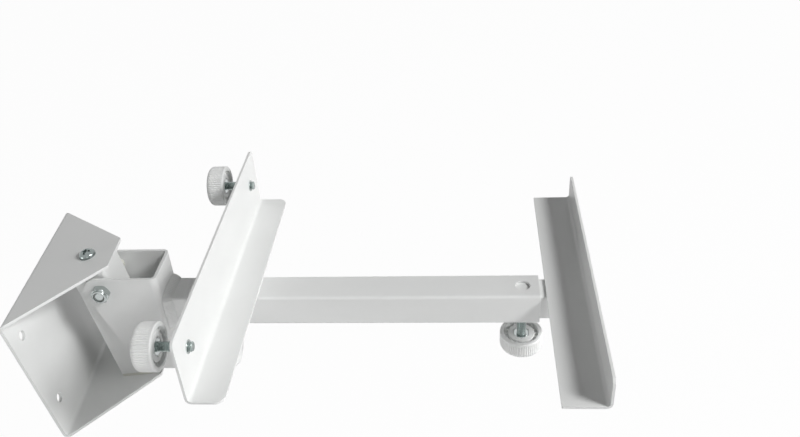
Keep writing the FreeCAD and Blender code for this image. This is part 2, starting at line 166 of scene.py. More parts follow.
def finished(name, mesh, smooth_angle):
    """Merges doubled corners, points the faces outwards and shades the gentle edges smooth."""
    work = bmesh.new()
    work.from_mesh(mesh)
    bmesh.ops.remove_doubles(work, verts=work.verts, dist=WELD_DISTANCE)
    bmesh.ops.dissolve_degenerate(work, edges=work.edges, dist=WELD_DISTANCE)
    bmesh.ops.recalc_face_normals(work, faces=work.faces)
    work.to_mesh(mesh)
    work.free()
    mesh.shade_smooth()
    mesh.set_sharp_from_angle(angle=math.radians(smooth_angle))
    piece = bpy.data.objects.new(name, mesh)
    bpy.context.scene.collection.objects.link(piece)
    return piece


print("grid points closer than", WELD_DISTANCE / MM, "mm are merged")

# %% [markdown]
# Turned shapes
#
# A round piece is easiest to write down beside an upright axis, as pairs of radius and height.
# The pairs are carried round that axis in equal steps, and the finished grid is then stood
# along the real screw's line. Its turn about that line follows the arm's side, or the arm's up
# where the line itself runs sideways, so that flats and recesses sit square to the arm.


# %% Rings, profiles and standing them up
SIDEWAYS = 0.9


def full_turn(columns):
    """Equal steps round one full turn, in radians."""
    return np.linspace(0, 2 * np.pi, columns, endpoint=False)


def rings(radius, height, turn):
    """Rows of points round the z axis, with a radius at each turn and one height for each row."""
    x = radius * np.cos(turn)
    y = radius * np.sin(turn)
    return np.stack([x, y, np.broadcast_to(height[:, None], x.shape)], axis=2)


def spin(profile, columns):
    """Carries a profile of (radius, height) round the z axis in equal steps."""
    radius, height = np.array(profile, float).T
    return rings(radius[:, None], height, full_turn(columns))


def arc(centre, radius, start, end, steps):
    """Points of a round corner in the (radius, height) plane, angles in degrees."""
    turn = np.radians(np.linspace(start, end, steps))
    return [(centre[0] + radius * math.cos(a), centre[1] + radius * math.sin(a)) for a in turn]


def stand(points, origin, axis):
    """Turns local points so that their z runs along axis, and carries them to origin.

    An axis whose cosine with the arm's side is over SIDEWAYS takes the arm's up as its guide.
    """
    w = unit(axis)
    guide = ARM_SIDE if abs(w @ ARM_SIDE) < SIDEWAYS else ARM_UP
    u = unit(np.cross(guide, w))
    v = np.cross(w, u)
    return np.array(origin) + points @ np.stack([u, v, w])


print("the tilt bolt lies", round(math.degrees(math.acos(abs(TILT_AXIS @ ARM_OUT)))), "degrees to the arm")

# %% [markdown]
# Colour and nodes
#
# Colours are written as they look on a screen and turned to linear light by one function.
# One more function adds a node, sets what it holds and links what feeds it. No real surface
# is of one shade, so a third lets a pattern move the colour and the shine between two ends.


# %% Node helpers
def linear(code):
    """A screen colour such as E8E8E4 as linear red, green and blue, with an alpha of 1."""
    parts = [int(code[i:i + 2], 16) / 255 for i in (0, 2, 4)]
    return [p / 12.92 if p <= 0.04045 else ((p + 0.055) / 1.055) ** 2.4 for p in parts] + [1.0]


def add(tree, kind, feeds=None, **settings):
    """Adds a node. feeds gives each socket a value or the socket that it is linked from."""
    node = tree.nodes.new(kind)
    for key, value in settings.items():
        setattr(node, key, value)
    for key, value in (feeds or {}).items():
        if isinstance(value, bpy.types.NodeSocket):
            tree.links.new(value, node.inputs[key])
        else:
            node.inputs[key].default_value = value
    return node


def new_material(name):
    """An empty material and its node tree."""
    material = bpy.data.materials.new(name)
    material.use_nodes = True
    material.node_tree.nodes.clear()
    return material, material.node_tree


def close_material(tree, shader):
    """Makes a shader the material's surface."""
    add(tree, "ShaderNodeOutputMaterial", {"Surface": shader.outputs["BSDF"]})


def varied(tree, pattern, start, end, roughness):
    """Colour and roughness that follow a pattern, from their first value at 0 to the last at 1."""
    colour = add(tree, "ShaderNodeMix", {
        "Factor": pattern, "A": linear(start), "B": linear(end)}, data_type="RGBA")
    shine = add(tree, "ShaderNodeMapRange", {
        "Value": pattern, "To Min": roughness[0], "To Max": roughness[1]})
    return colour.outputs["Result"], shine.outputs["Result"]


print("half grey is", round(linear("808080")[0], 3), "in linear light")

# %% [markdown]
# Powder coat
#
# The sheet metal and the tubes carry an off-white polyester powder coat, sprayed on dry and
# baked. It flows out into a faint orange peel with bumps about 1.5 mm apart and has a satin
# shine. Two noises give that: a wide one that shifts the shade by a hair, as a batch of powder
# does, and a fine one for the orange peel.


# %% Powder coat
PATCH_SIZE = 45.0 * MM
PEEL_SIZE = 1.5 * MM
PEEL_HEIGHT = 0.12 * MM


def powder_coat():
    """Off-white with wide patches in its shade and its shine, and an orange peel."""
    material, tree = new_material("powder coat, off-white polyester")
    where = add(tree, "ShaderNodeTexCoord").outputs["Object"]
    patches = add(tree, "ShaderNodeTexNoise", {"Vector": where, "Scale": 1 / PATCH_SIZE, "Detail": 3.0})
    colour, shine = varied(tree, patches.outputs["Fac"], "E4E5E4", "ECEDEC", (0.36, 0.46))
    peel = add(tree, "ShaderNodeTexNoise", {"Vector": where, "Scale": 1 / PEEL_SIZE, "Detail": 2.0})
    bump = add(tree, "ShaderNodeBump", {
        "Height": peel.outputs["Fac"], "Strength": 0.10, "Distance": PEEL_HEIGHT})
    shader = add(tree, "ShaderNodeBsdfPrincipled", {
        "Base Color": colour, "Roughness": shine, "Normal": bump.outputs["Normal"], "IOR": 1.5})
    close_material(tree, shader)
    return material


POWDER_COAT = powder_coat()
print("made", POWDER_COAT.name)

# %% [markdown]
# Zinc plate
#
# The screws, nuts and washers are steel with a thin layer of bright zinc, passivated in a bath
# that leaves a cool blue-green cast. A plated part is never a mirror: the layer has a grain
# that breaks the reflections up. The real grain is too fine to show from here, so it is drawn
# coarser, in cells of 0.6 mm. The struck heads of the pan head screws are the same zinc, but
# they get deeper greys and a coarser mottle of 1.2 mm: a painted dark reflection, of a dim room
# that they would mirror. The threads are rolled in the same steel, and their darker greys are
# painted shade, added to the real shade of each groove, which mostly sees the next one.


# %% Zinc
CELL_HEIGHT = 0.04 * MM


def plated(name, pale, deep, roughness, cell):
    """A metal whose colour, shine and bump follow one noise, with cells of the size given."""
    material, tree = new_material(name)
    where = add(tree, "ShaderNodeTexCoord").outputs["Object"]
    cells = add(tree, "ShaderNodeTexNoise", {"Vector": where, "Scale": 1 / cell, "Detail": 4.0})
    colour, shine = varied(tree, cells.outputs["Fac"], pale, deep, roughness)
    bump = add(tree, "ShaderNodeBump", {
        "Height": cells.outputs["Fac"], "Strength": 0.15, "Distance": CELL_HEIGHT})
    shader = add(tree, "ShaderNodeBsdfPrincipled", {
        "Base Color": colour, "Roughness": shine, "Normal": bump.outputs["Normal"], "Metallic": 1.0})
    close_material(tree, shader)
    return material


BRIGHT_ZINC = plated("zinc plate, blue passivated", "D3D8D7", "A8AFAE", (0.14, 0.28), 0.6 * MM)
# the heads' deeper greys and coarse mottle are a painted dark reflection
HEAD_ZINC_PAINTED_REFLECTION = plated("screw head zinc with painted dark reflection", "A3ABAA", "69716F", (0.08, 0.22), 1.2 * MM)
# the threads' darker greys are painted shade of the grooves
THREAD_ZINC_PAINTED_SHADE = plated("rolled thread zinc with painted shade", "BCC5C3", "8B9694", (0.18, 0.32), 0.8 * MM)
for material in (BRIGHT_ZINC, HEAD_ZINC_PAINTED_REFLECTION, THREAD_ZINC_PAINTED_SHADE):
    print("made", material.name)

# %% [markdown]
# Moulded plastic
#
# The knobs are moulded in a white engineering plastic from a polished steel mould, which
# leaves them half matt, with the faintest flow marks about 6 mm apart and fine specks. The
# real specks are too fine to show from here, so they are drawn coarser, at 0.7 mm. The slip
# pads and spacers are natural nylon, a milky grey-white that lets a little light in, so it
# scatters light under its skin. The rings in the lock nuts are nylon too, drawn in a darker
# grey that is painted shade, for the shadow down in the nut's mouth.


# %% Plastics
FLOW_SIZE = 6.0 * MM
SPECK_SIZE = 0.7 * MM
SPECK_HEIGHT = 0.05 * MM
LIGHT_REACH = 1.2 * MM


def moulded(name, pale, deep, roughness, inner_light):
    """A plastic with wide flow marks, fine specks and some light scattered under its skin."""
    material, tree = new_material(name)
    where = add(tree, "ShaderNodeTexCoord").outputs["Object"]
    flow = add(tree, "ShaderNodeTexNoise", {
        "Vector": where, "Scale": 1 / FLOW_SIZE, "Detail": 3.0, "Distortion": 1.2})
    colour, shine = varied(tree, flow.outputs["Fac"], pale, deep, roughness)
    specks = add(tree, "ShaderNodeTexNoise", {"Vector": where, "Scale": 1 / SPECK_SIZE, "Detail": 2.0})
    bump = add(tree, "ShaderNodeBump", {
        "Height": specks.outputs["Fac"], "Strength": 0.08, "Distance": SPECK_HEIGHT})
    shader = add(tree, "ShaderNodeBsdfPrincipled", {
        "Base Color": colour, "Roughness": shine, "Normal": bump.outputs["Normal"], "IOR": 1.49,
        "Subsurface Weight": inner_light, "Subsurface Scale": LIGHT_REACH,
        "Subsurface Radius": (1.0, 1.0, 0.95)})
    close_material(tree, shader)
    return material


WHITE_PLASTIC = moulded("white moulded plastic", "F4F5F4", "EDEEED", (0.37, 0.47), 0.10)
NYLON = moulded("natural nylon", "DCDCD4", "D0D0C7", (0.45, 0.55), 0.20)
# the lock rings' darker grey is painted shade of the nut's mouth
LOCK_RING_NYLON_PAINTED_SHADE = moulded("lock nut nylon, darkened as painted shade", "A3A6A4", "8F9391", (0.45, 0.55), 0.10)
for material in (WHITE_PLASTIC, NYLON, LOCK_RING_NYLON_PAINTED_SHADE):
    print("made", material.name)

# %% [markdown]
# The sheet metal and tubes
#
# Their shapes are already right in the frame, so they stay, and so do the washers, the press
# nuts and the nylon. What a solid lacks is the soft edge that a coat of powder gives to cut
# steel. The frame's mesh is loose triangles, so Weld joins them first, and Bevel then rounds
# each sharp edge, by half a millimetre on the sheets. Both are modifiers, which leave the
# solid itself as it is.

# %% Dress the frame's own pieces
SOFT_EDGE = 0.5 * MM
SMALL_EDGE = 0.2 * MM
EDGE_STEPS = 3
EDGE_ANGLE = math.radians(40)
SHEETS = ("wall_bracket", "swivel_bracket", "tilt_channel", "rear_clamp_plate",
          "front_clamp_plate", "outer_tube", "inner_tube")
NYLON_PARTS = ("upper_swivel_pad", "lower_swivel_pad", "near_tilt_spacer", "far_tilt_spacer")
ZINC_RINGS = ("upper_swivel_washer", "lower_swivel_washer", "tilt_bolt_washer",
              "near_press_nut", "far_press_nut")


def dress(node, material, edge):
    """Gives a solid its finish and rounds its sharp edges."""
    piece = NODES[node]
    piece.data.materials.clear()
    piece.data.materials.append(material)
    weld = piece.modifiers.new("weld", "WELD")
    weld.merge_threshold = WELD_DISTANCE
    bevel = piece.modifiers.new("soft edge", "BEVEL")
    bevel.width = edge
    bevel.segments = EDGE_STEPS
    bevel.limit_method = "ANGLE"
    bevel.angle_limit = EDGE_ANGLE
    smooth = piece.modifiers.new("even shading", "WEIGHTED_NORMAL")
    smooth.keep_sharp = True


for node in SHEETS:
    dress(node, POWDER_COAT, SOFT_EDGE)
for node in NYLON_PARTS:
    dress(node, NYLON, SMALL_EDGE)
for node in ZINC_RINGS:
    dress(node, BRIGHT_ZINC, SMALL_EDGE)
print("dressed", len(SHEETS) + len(NYLON_PARTS) + len(ZINC_RINGS), "solids")

# %% [markdown]
# The knobs
#
# Each thumb screw has a moulded knob 38 mm across. Its grip is a ring of fine straight ribs
# with sharp valleys that stop short of a smooth band at the rim. Its back is rounded like a
# coin's edge, and the side that faces the bracket is hollow: a ring groove, a low disc, and a
# six-sided pocket with the screw's zinc head in it. The half section comes first, without the
# ribs. A moulded wall leans a little, so that the knob comes out of its mould.

# %% Knob section
BACK_ROUND = 4.5 * MM
RIM_ROUND = 1.2 * MM
LIP_ROUND = 0.6 * MM
DISC_ROUND = 0.5 * MM
RIM_WIDTH = 4.0 * MM
GROOVE_WIDTH = 3.2 * MM
GROOVE_DEPTH = 5.0 * MM
DISC_DEPTH = 1.6 * MM
POCKET_FLATS = 13.4 * MM
POCKET_DEPTH = 4.2 * MM
POCKET_MARGIN = 1.6 * MM
BACK_RING = 0.4 * MM
FLOOR_RING = 2.0 * MM
FINE = 0.1 * MM


def between(start, end, steps):
    """Evenly spaced points from start up to, but not including, end."""
    share = np.linspace(0, 1, steps, endpoint=False)[:, None]
    return (np.array(start) * (1 - share) + np.array(end) * share).tolist()


def knob_profile(radius, height):
    """Half section from the middle of the closed back round to the bottom of the pocket.

    The rim is at z = 0. Small leans, and the rows that keep a flat even up to the round beside
    it, are one to three times FINE. BACK_RING and FLOOR_RING are the first and last radius,
    small rings that are closed by a fan.
    """
    back, disc, groove = -height, -DISC_DEPTH, -GROOVE_DEPTH
    inner_rim = radius - RIM_WIDTH
    disc_edge = inner_rim - GROOVE_WIDTH
    pocket = POCKET_FLATS / 2
    line = between((BACK_RING, back), (radius - BACK_ROUND, back), 5)
    line += arc((radius - BACK_ROUND, back + BACK_ROUND), BACK_ROUND, -90, 0, 9)
    line += between((radius, back + BACK_ROUND + 2 * FINE), (radius, -RIM_ROUND), 14)
    line += arc((radius - RIM_ROUND, -RIM_ROUND), RIM_ROUND, 0, 90, 6)
    line += arc((inner_rim + LIP_ROUND, -LIP_ROUND), LIP_ROUND, 90, 180, 4)
    line += between((inner_rim, -LIP_ROUND - 3 * FINE), (inner_rim - 2 * FINE, groove), 3)
    line += between((inner_rim - 3 * FINE, groove), (disc_edge + 2 * FINE, groove), 2)
    line += between((disc_edge + FINE, groove + FINE), (disc_edge, disc - DISC_ROUND), 2)
    line += arc((disc_edge - DISC_ROUND, disc - DISC_ROUND), DISC_ROUND, 0, 90, 4)
    line += between((disc_edge - DISC_ROUND - 3 * FINE, disc), (pocket + POCKET_MARGIN, disc), 3)
    line += [(pocket, disc), (pocket, -POCKET_DEPTH), (FLOOR_RING, -POCKET_DEPTH)]
    return np.array(line)


print("the groove starts", RIM_WIDTH / MM, "mm in from the knob's edge")

# %% [markdown]
# Ribs, webs and pocket
#
# A cylinder with a bump map would keep a smooth outline, so the ribs are real. The section is
# spun, and a formula pulls its radius in at each valley. The pocket's six sides and the webs
# that brace the groove are made on the same grid, because each of them only changes the
# radius or the height of a point by where it lies.

# %% Ribs, webs and pocket
RIBS = 56
STEPS_PER_RIB = 8
RIB_DEPTH = 0.65 * MM
VALLEY_POWER = 0.8
RIBS_START = 0.5 * MM
RIBS_FULL = 3.0 * MM
SMOOTH_BAND = 2.0 * MM
BAND_FADE = 0.6 * MM
WEBS = 16
WEB_WIDTH = 1.3 * MM
WEB_FLANK = 0.2 * MM
WEB_DEPTH = 2.6 * MM
HAIR = 0.01 * MM


def smoothstep(low, high, value):
    """Rises from 0 at low to 1 at high with no corner at either end."""
    t = np.clip((value - low) / (high - low), 0, 1)
    return t * t * (3 - 2 * t)


def hexagon_radius(turn, flats):
    """Half the distance over the flats, divided by the cosine of the turn from the nearest flat."""
    from_flat = (turn + math.pi / 6) % (math.pi / 3) - math.pi / 6
    return flats / 2 / np.cos(from_flat)


def web_lift(radius, r, z, turn):
    """How far the groove's skin rises over the webs that brace it.

    A web is as wide as its width on the groove's middle circle: the distance along that
    circle to the nearest web fades the lift out at its flanks.
    """
    middle = radius - RIM_WIDTH - GROOVE_WIDTH / 2
    pitch = 2 * math.pi / WEBS
    away = np.abs((turn + pitch / 2) % pitch - pitch / 2) * middle
    share = smoothstep(WEB_WIDTH / 2 + WEB_FLANK, WEB_WIDTH / 2 - WEB_FLANK, away)
    in_groove = (np.abs(r - middle) < GROOVE_WIDTH / 2 + HAIR) & (z > -GROOVE_DEPTH - HAIR)
    rise = np.where(in_groove, np.clip(-WEB_DEPTH - z, 0, None), 0)
    return rise[:, None] * share[None, :]


def knob_points(radius, height):
    """The profile spun round the axis, less a valley wherever the cosine of the ribs is small.

    Valley depth = rib depth * (1 - |cos(half the rib count * turn)| ** VALLEY_POWER), faded
    out over the rounded back and the smooth band, and nothing inside the rim. The pocket's
    radius is multiplied by a hexagon of half width 1 instead, and webs cross the groove.
    """
    profile = knob_profile(radius, height)
    turn = full_turn(RIBS * STEPS_PER_RIB)
    grid = spin(profile, len(turn))
    r, z = profile.T
    valley = 1 - np.abs(np.cos(RIBS * turn / 2)) ** VALLEY_POWER
    fade = smoothstep(-height + RIBS_START, -height + RIBS_FULL, z)
    fade = fade * smoothstep(-SMOOTH_BAND + BAND_FADE, -SMOOTH_BAND - BAND_FADE, z)
    fade = fade * (r > radius - BACK_ROUND)
    pull = 1 - RIB_DEPTH * fade[:, None] * valley / r[:, None]
    in_pocket = (np.abs(r - POCKET_FLATS / 2) < HAIR)[:, None]
    pull = np.where(in_pocket, hexagon_radius(turn, 2.0)[None, :], pull)
    grid[:, :, :2] *= pull[:, :, None]
    grid[:, :, 2] += web_lift(radius, r, z, turn)
    return grid


THUMB_SCREWS = {
    "near_clamp": "near_clamp_turn",
    "far_clamp": "far_clamp_turn",
    "lock": "lock_turn",
    "tilt": "tilt_screw_turn",
}

for name, joint in THUMB_SCREWS.items():
    node = name + "_knob"
    point, axis = joint_line(joint)
    low, high, reach = span(node, point, axis)
    grid = stand(knob_points(reach, high - low), point + axis * high, axis)
    knob = surface(node + "_ribbed", grid, smooth_angle=50)
    knob.data.materials.append(WHITE_PLASTIC)
    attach(knob, JOINTS[joint]["child"])
    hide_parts(node)
    print(knob.name, "with", len(knob.data.polygons), "faces, rim at", round(high / MM, 1), "mm")

# %% [markdown]
# Heads in the pockets
#
# The screw's own head is a zinc hexagon that sits in the knob's pocket and takes the turning
# force. Only its top and the cone that turns off its corners can be seen round the rod, so it
# is a short stack of hexagons, each limited by the cone.

# %% Heads in the pockets
HEAD_FLATS = 13.0 * MM
HEAD_ABOVE_FLOOR = 2.6 * MM
HEAD_BELOW_FLOOR = 0.4 * MM
HEAD_TOP_RING = 4.2 * MM
HEX_COLUMNS = 72
CONE_DEPTHS = np.array([1.0, 0.5, 0.25, 0.0, 0.0]) * MM
CONE_ANGLE = math.radians(30)


def turned_hexagon(turn, flats, depth):
    """Radius of a hexagon with its corners turned off, one row for each depth below its face.

    Radius = the smaller of the hexagon and a cone, which starts just inside the flats at the
    face and widens by 1.73 mm for each millimetre below it.
    """
    cone = flats / 2 - FINE + depth / math.tan(CONE_ANGLE)
    return np.minimum(hexagon_radius(turn, flats)[None, :], cone[:, None])


def pocket_head_points(flats, low, high):
    """A hexagon from low to high with its top corners turned off, and a ring round the rod."""
    turn = full_turn(HEX_COLUMNS)
    z = np.concatenate([[low], high - CONE_DEPTHS])
    r = turned_hexagon(turn, flats, high - z)
    r[-1] = HEAD_TOP_RING
    return rings(r, z, turn)


for name, joint in THUMB_SCREWS.items():
    node = name + "_knob"
    point, axis = joint_line(joint)
    rim = point + axis * span(node, point, axis)[1]
    floor_at = -POCKET_DEPTH
    grid = pocket_head_points(HEAD_FLATS, floor_at - HEAD_BELOW_FLOOR, floor_at + HEAD_ABOVE_FLOOR)
    head = surface(node + "_hex_head", stand(grid, rim, axis), smooth_angle=25)
    head.data.materials.append(BRIGHT_ZINC)
    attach(head, JOINTS[joint]["child"])
print("hexagon heads are", round(HEAD_FLATS / MM, 1), "mm over the flats")

# %% [markdown]
# Threaded rods
#
# The rods are rolled M8 thread with a pitch of 1.25 mm. A thread is one ridge that climbs as it
# goes round, so a stack of rings can't make it. Here each row of the grid is itself a helix:
# its height grows by one pitch per turn, and four rows, two on the crest and two in the root,
# make one ridge. Heights past either end are held at the end, and the last turns shrink under
# a chamfer, or under a ball on the tilt screw, whose rounded tip pushes on the swivel box.

# %% Threaded rods
PITCH = 1.25 * MM
THREAD_DEPTH = 0.68 * MM
THREAD_STEPS = 40
THREAD_PHASES = np.array([0.0, 0.16, 0.52, 0.64])
THREAD_CREST = np.array([1.0, 1.0, 0.0, 0.0])
ROD_CHAMFER = 0.7 * MM


def thread_points(radius, length, chamfer, round_tip=False):
    """Rows of helices from z = 0, the tip, down to z = -length.

    Height = pitch * (turn number + phase + share of a turn), where a phase is a share of the
    pitch: the crest lies from 0 to 0.16 and the root from 0.52 to 0.64. Radius = crest radius,
    less the thread's depth in the root. A cone, or a ball for a rounded tip, limits it at the
    end, and one row of points on the axis closes each end.
    """
    turns = int(length / PITCH) + 2
    phase = (np.arange(-1, turns)[:, None] + THREAD_PHASES).ravel()
    crest = np.tile(THREAD_CREST, turns + 1)
    share = np.linspace(0, 1, THREAD_STEPS + 1)
    depth = np.clip(PITCH * (phase[:, None] + share[None, :]), 0, length)
    r = np.broadcast_to((radius - THREAD_DEPTH * (1 - crest))[:, None], depth.shape)
    if round_tip:
        limit = np.sqrt(np.clip(radius ** 2 - np.clip(radius - depth, 0, radius) ** 2, 0, None))
    else:
        limit = radius - chamfer + depth
    r = np.minimum(r, np.maximum(limit, FINE))
    turn = 2 * np.pi * share
    rows = np.stack([r * np.cos(turn), r * np.sin(turn), -depth], axis=2)
    tip, foot = rows[:1] * [0, 0, 1], rows[-1:] * [0, 0, 1]
    return np.concatenate([tip, rows, foot])


for name, joint in THUMB_SCREWS.items():
    node = name + "_screw"
    point, axis = joint_line(joint)
    low, high, reach = span(node, point, axis)
    grid = thread_points(reach, high - low, ROD_CHAMFER, round_tip=(name == "tilt"))
    grid = stand(grid, point + axis * high, axis)
    rod = surface(node + "_thread", grid, wrap=False, caps=False, smooth_angle=55)
    # darker zinc: painted shade of the grooves
    rod.data.materials.append(THREAD_ZINC_PAINTED_SHADE)
    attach(rod, JOINTS[joint]["parent"])
    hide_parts(node)
    print(rod.name, "with", len(rod.data.polygons), "faces")

# %% [markdown]
# Pan head screws
#
# Three pan head machine screws hold the joints: two for the swivel and one for the tilt. The
# head is a shallow dome with a cross recess struck into it. A boolean cut would leave ragged
# edges on the dome, so the head is a height field on a round grid: the dome's height, less the
# depth of a tapering cross wherever a point lies within its arms.

# %% Pan heads
PAN_COLUMNS = 192
PAN_ROWS = 44
PAN_HEIGHT = 5.6 * MM
SKIRT_SHARE = 0.28
DOME_POWER = 2.2
SEAT_EDGE = 0.3 * MM
TOP_RING = 0.05 * MM
CROSS_REACH = 4.8 * MM
CROSS_WIDTH = 2.6 * MM
CROSS_TAPER = 0.25
CROSS_DEPTH = 4.4 * MM
CROSS_EDGE = 0.22 * MM


def pan_head_points(radius, height):
    """Skirt and dome of a pan head on its seat at z = 0, with a cross recess.

    Dome height = skirt + rise * (1 - (r / radius) ** DOME_POWER) ** 0.5. The recess is as deep
    as the larger of two arms: each arm is full depth at the middle, rises in a straight line
    to nothing at its tip, narrows by CROSS_TAPER on the way, and drops off within a thin edge
    either side of its width.
    """
    skirt = SKIRT_SHARE * height
    share = np.sin(np.linspace(0, math.pi / 2, PAN_ROWS))[::-1]
    r = np.maximum(share * radius, TOP_RING)
    dome = skirt + (height - skirt) * np.sqrt(np.clip(1 - (r / radius) ** DOME_POWER, 0, 1))
    top = rings(r[:, None], dome, full_turn(PAN_COLUMNS))
    arms = []
    for along, across in ((top[:, :, 0], top[:, :, 1]), (top[:, :, 1], top[:, :, 0])):
        slope = np.clip(1 - np.abs(along) / CROSS_REACH, 0, 1)
        half = CROSS_WIDTH / 2 * (1 - CROSS_TAPER * (1 - slope))
        arms.append(slope * smoothstep(half + CROSS_EDGE, half - CROSS_EDGE, np.abs(across)))
    top[:, :, 2] -= CROSS_DEPTH * np.maximum(arms[0], arms[1])
    seat = [(FLOOR_RING, 0.0), (radius - SEAT_EDGE, 0.0), (radius, SEAT_EDGE)]
    return np.concatenate([spin(seat, PAN_COLUMNS), top])


print("the cross is", round(2 * CROSS_REACH / MM, 1), "mm across")

# %% [markdown]
# The screws in their places
#
# Each head stands on its sheet with its top where the solid's is, and its shank is the same
# thread as on the rods, from under the head to the solid's far end.

# %% Pan head screws
SHANK_RADIUS = 4.0 * MM
SHANK_CHAMFER = 0.6 * MM
SCREWS = {
    "upper_swivel_screw": (SWIVEL_AT, SWIVEL_AXIS, "wall"),
    "lower_swivel_screw": (SWIVEL_AT, -SWIVEL_AXIS, "wall"),
    "tilt_bolt": (TILT_AT, TILT_AXIS, "arm"),
}

for node, (point, outwards, body) in SCREWS.items():
    low, high, reach = span(node, point, outwards)
    seat = point + outwards * (high - PAN_HEIGHT)
    grid = stand(pan_head_points(reach, PAN_HEIGHT), seat, outwards)
    head = surface(node + "_head", grid, smooth_angle=40)
    # darker zinc: a painted dark reflection
    head.data.materials.append(HEAD_ZINC_PAINTED_REFLECTION)
    grid = thread_points(SHANK_RADIUS, high - PAN_HEIGHT - low, SHANK_CHAMFER)
    grid = stand(grid, point + outwards * low, -outwards)
    shank = surface(node + "_shank", grid, wrap=False, caps=False, smooth_angle=55)
    shank.data.materials.append(BRIGHT_ZINC)
    for piece in (head, shank):
        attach(piece, body)
        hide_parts(node)
    print(node, "head", round(2 * reach / MM, 1), "mm across")

# %% [markdown]
# Lock nuts
#
# A lock nut is a hexagon with its corners turned off at 30 degrees and a round collar on top,
# crimped over a ring of nylon that grips the thread. The hexagon and its cone are the same
# formula as on the heads in the pockets, here for both faces. The nut welded inside the
# channel's foot is the same shape without the collar.

# %% Nut shape
NUT_FLATS = 14.0 * MM
WELD_NUT_FLATS = 13.0 * MM
NUT_BORE = 4.05 * MM
NUT_COLUMNS = 96
CONE_ZONE = 1.2 * MM
SIDE_ZONE = 1.6 * MM
COLLAR_RADIUS = 6.1 * MM
COLLAR_HEIGHT = 1.8 * MM
COLLAR_ROUND = 0.6 * MM
RING_SEAT = 1.6 * MM
RING_WIDTH = 0.9 * MM
MOUTH_CHAMFER = 0.5 * MM


def nut_points(height, flats, collar):
    """Rows from the bore at the seat, out over the hexagon, the collar and back to the bore.

    The rows over the hexagon stand close together near both faces, where the cone shows, and
    wide apart on its sides. With a collar, the nut has a seat for a nylon ring at its mouth.
    """
    turn = full_turn(NUT_COLUMNS)
    body = height - (COLLAR_HEIGHT if collar else 0)
    z = np.concatenate([np.linspace(0, CONE_ZONE, 7), np.linspace(SIDE_ZONE, body - SIDE_ZONE, 4),
                        np.linspace(body - CONE_ZONE, body, 7)])
    sides = rings(turned_hexagon(turn + math.pi / 6, flats, np.minimum(z, body - z)), z, turn)
    foot = height - RING_SEAT
    if collar:
        edge = NUT_BORE + RING_WIDTH
        top = [(COLLAR_RADIUS + FINE, body), (COLLAR_RADIUS, body + 2 * FINE)]
        top += arc((COLLAR_RADIUS - COLLAR_ROUND, height - COLLAR_ROUND), COLLAR_ROUND, 0, 90, 6)
        top += [(edge, height), (edge, foot)]
    else:
        top = [(NUT_BORE + MOUTH_CHAMFER, height)]
    start = spin([(NUT_BORE, foot), (NUT_BORE, 0.0)], NUT_COLUMNS)
    end = spin(top + [(NUT_BORE, foot)], NUT_COLUMNS)
    return np.concatenate([start, sides, end])


print("lock nuts are", round(NUT_FLATS / MM, 1), "mm over the flats")

# %% [markdown]
# The nuts in their places
#
# The nylon ring of a lock nut sits a little below the mouth, so it is a piece of its own, a
# short ring with its outer edge broken.

# %% Nuts and their rings
RING_COLUMNS = 48
RING_SUNK = 0.9 * MM
RING_HEIGHT = 1.0 * MM
RING_PLAY = 0.05 * MM
NUTS = {
    "upper_swivel_nut": (SWIVEL_AT, -SWIVEL_AXIS, "wall", True),
    "lower_swivel_nut": (SWIVEL_AT, SWIVEL_AXIS, "wall", True),
    "tilt_lock_nut": (TILT_AT, -TILT_AXIS, "arm", True),
    "tilt_weld_nut": (joint_line("tilt_screw_turn")[0], ARM_OUT, "arm", False),
}


def nylon_ring_points():
    """Section of the ring, closed on itself, from z = 0 at its top down, spun round the bore."""
    bore = NUT_BORE - RING_PLAY
    edge = NUT_BORE + RING_WIDTH - RING_PLAY
    section = [(bore, -RING_HEIGHT), (bore, 0.0), (edge - 3 * FINE, 0.0), (edge, -2 * FINE),
               (edge, -RING_HEIGHT), (bore, -RING_HEIGHT)]
    return spin(section, RING_COLUMNS)


for node, (point, way, body, collar) in NUTS.items():
    low, high = span(node, point, way)[:2]
    grid = nut_points(high - low, NUT_FLATS if collar else WELD_NUT_FLATS, collar)
    nut = surface(node + "_turned", stand(grid, point + way * low, way), caps=False, smooth_angle=25)
    nut.data.materials.append(BRIGHT_ZINC)
    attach(nut, body)
    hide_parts(node)
    if collar:
        grid = stand(nylon_ring_points(), point + way * (high - RING_SUNK), way)
        insert = surface(node + "_insert", grid, caps=False)
        # its darker grey is painted shade
        insert.data.materials.append(LOCK_RING_NYLON_PAINTED_SHADE)
        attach(insert, body)
    print(nut.name, round((high - low) / MM, 1), "mm tall")

# %% [markdown]
# Weld beads
#
# The tube is welded to the channel all round, and each clamp plate to its tube along both
# sides. Under the paint a bead is a sloping fillet, a little fuller than a straight ramp, with
# a ripple for each step of the torch, about 2 mm apart. One section is carried along the
# seam, and its size swells and shrinks a little with the ripples. A bevel on the seam itself
# couldn't do this, because the tube and the channel are two solids that only touch.

# %% Weld bead
RIPPLE = 2.0 * MM
RIPPLE_SHARE = 0.015
BEAD_STEPS = 10
BEAD_POWER = 1.5
SUNK = 0.3 * MM


